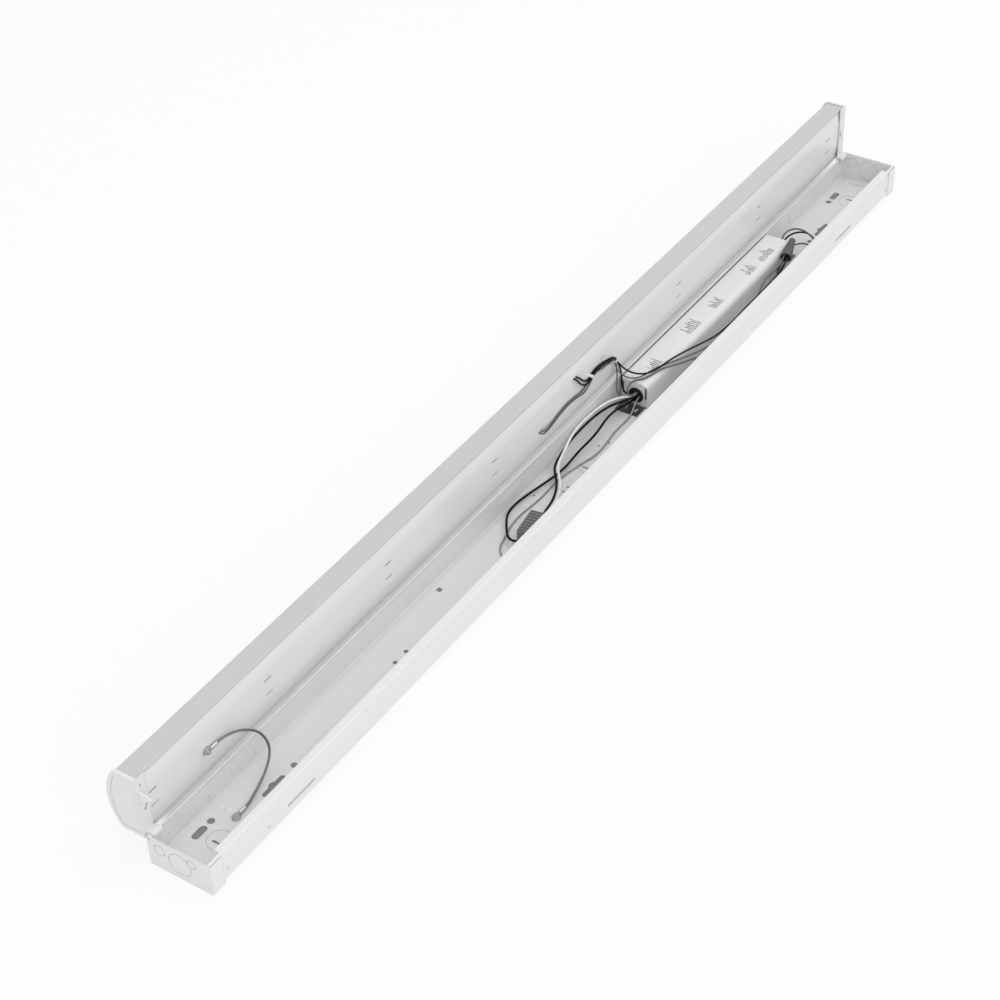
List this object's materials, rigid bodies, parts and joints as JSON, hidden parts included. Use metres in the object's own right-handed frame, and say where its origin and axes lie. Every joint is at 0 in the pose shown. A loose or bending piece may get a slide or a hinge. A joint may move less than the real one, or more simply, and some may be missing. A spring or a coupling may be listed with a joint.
{
  "type": "linear led strip light",
  "caption": "Long ceiling strip light of folded white steel; its frosted lens and LED tray swing open on a side hinge for wiring to the driver.",
  "frame": {"origin": "centre of the flat back of the housing channel, the face that goes against the ceiling", "axes": "+X along the light, +Y towards the hinge and the open lens, +Z out of the back, away from the ceiling face"},
  "size_m": [1.219, 0.0995, 0.0913],
  "materials": {
    "housing_paint": "smooth semi-gloss white enamel on folded steel",
    "tray_paint": "high-reflectance white enamel, semi-gloss",
    "driver_paint": "smooth white enamel",
    "cap_plastic": "satin white moulding",
    "lens_diffuser": "frosted white diffusing extrusion",
    "bright_steel": "bright zinc plate",
    "tether_wire": "bright stranded wire",
    "black_nylon": "black nylon",
    "white_nylon": "natural white nylon",
    "module_plastic": "fine matt gray moulding",
    "wire_nut_plastic": "gray ribbed moulding",
    "lead_black": "black wire insulation",
    "lead_gray": "gray wire insulation",
    "lead_white": "white wire insulation",
    "circuit_board": "green solder mask",
    "ferrite": "dark ferrite",
    "copper_winding": "enamelled copper under clear tape",
    "capacitor_can": "sleeved aluminium can",
    "varistor_coating": "blue epoxy coating",
    "led_board_face": "white solder mask on aluminium",
    "led_phosphor": "yellow phosphor in a white frame"
  },
  "bodies": {
    "housing": {"housing_channel": "housing_paint", "housing_end_cap_near": "housing_paint", "housing_end_cap_far": "housing_paint", "hinge_pins": "bright_steel", "driver_case": "driver_paint", "driver_base_plate": "driver_paint", "driver_screws": "bright_steel", "driver_bushings": "black_nylon", "driver_liner": "black_nylon", "driver_board": "circuit_board", "driver_terminals": "white_nylon", "driver_transformer_core": "ferrite", "driver_transformer_winding": "copper_winding", "driver_choke": "ferrite", "driver_capacitors": "capacitor_can", "surge_module_case": "module_plastic", "surge_module_foot": "white_nylon", "surge_module_screw": "bright_steel", "surge_module_board": "circuit_board", "surge_module_varistors": "varistor_coating", "tether_stud_base": "bright_steel", "tether_nut_base": "bright_steel", "tether_eyelet_base": "bright_steel", "tether_cable": "tether_wire", "supply_lead_black": "lead_black", "supply_lead_white": "lead_white", "control_lead_black": "lead_black", "return_lead_gray": "lead_gray", "sense_lead_gray": "lead_gray", "sense_lead_black": "lead_black", "led_lead_gray": "lead_gray", "led_lead_black": "lead_black", "output_lead_upper": "lead_gray", "output_lead_lower": "lead_black", "jumper_lead_gray": "lead_gray", "wire_nut": "wire_nut_plastic"},
    "door": {"led_tray": "tray_paint", "lens": "lens_diffuser", "lens_end_cap_near": "cap_plastic", "lens_end_cap_far": "cap_plastic", "led_board_near": "led_board_face", "led_board_far": "led_board_face", "led_chips": "led_phosphor", "led_board_clips": "bright_steel", "led_connectors": "white_nylon", "led_board_link": "white_nylon", "tray_wire_straps": "tray_paint", "tether_stud_tray": "bright_steel", "tether_nut_tray": "bright_steel", "tether_eyelet_tray": "bright_steel"}
  },
  "joints": [
    {"name": "door_hinge", "type": "hinge", "parent": "housing", "child": "door", "pos_m": [0, 0.03015, 0.02915], "axis": [1, 0, 0], "range_deg": [0, 90], "deforming": ["tether_cable", "sense_lead_gray", "sense_lead_black", "led_lead_gray", "led_lead_black"]}
  ]
}
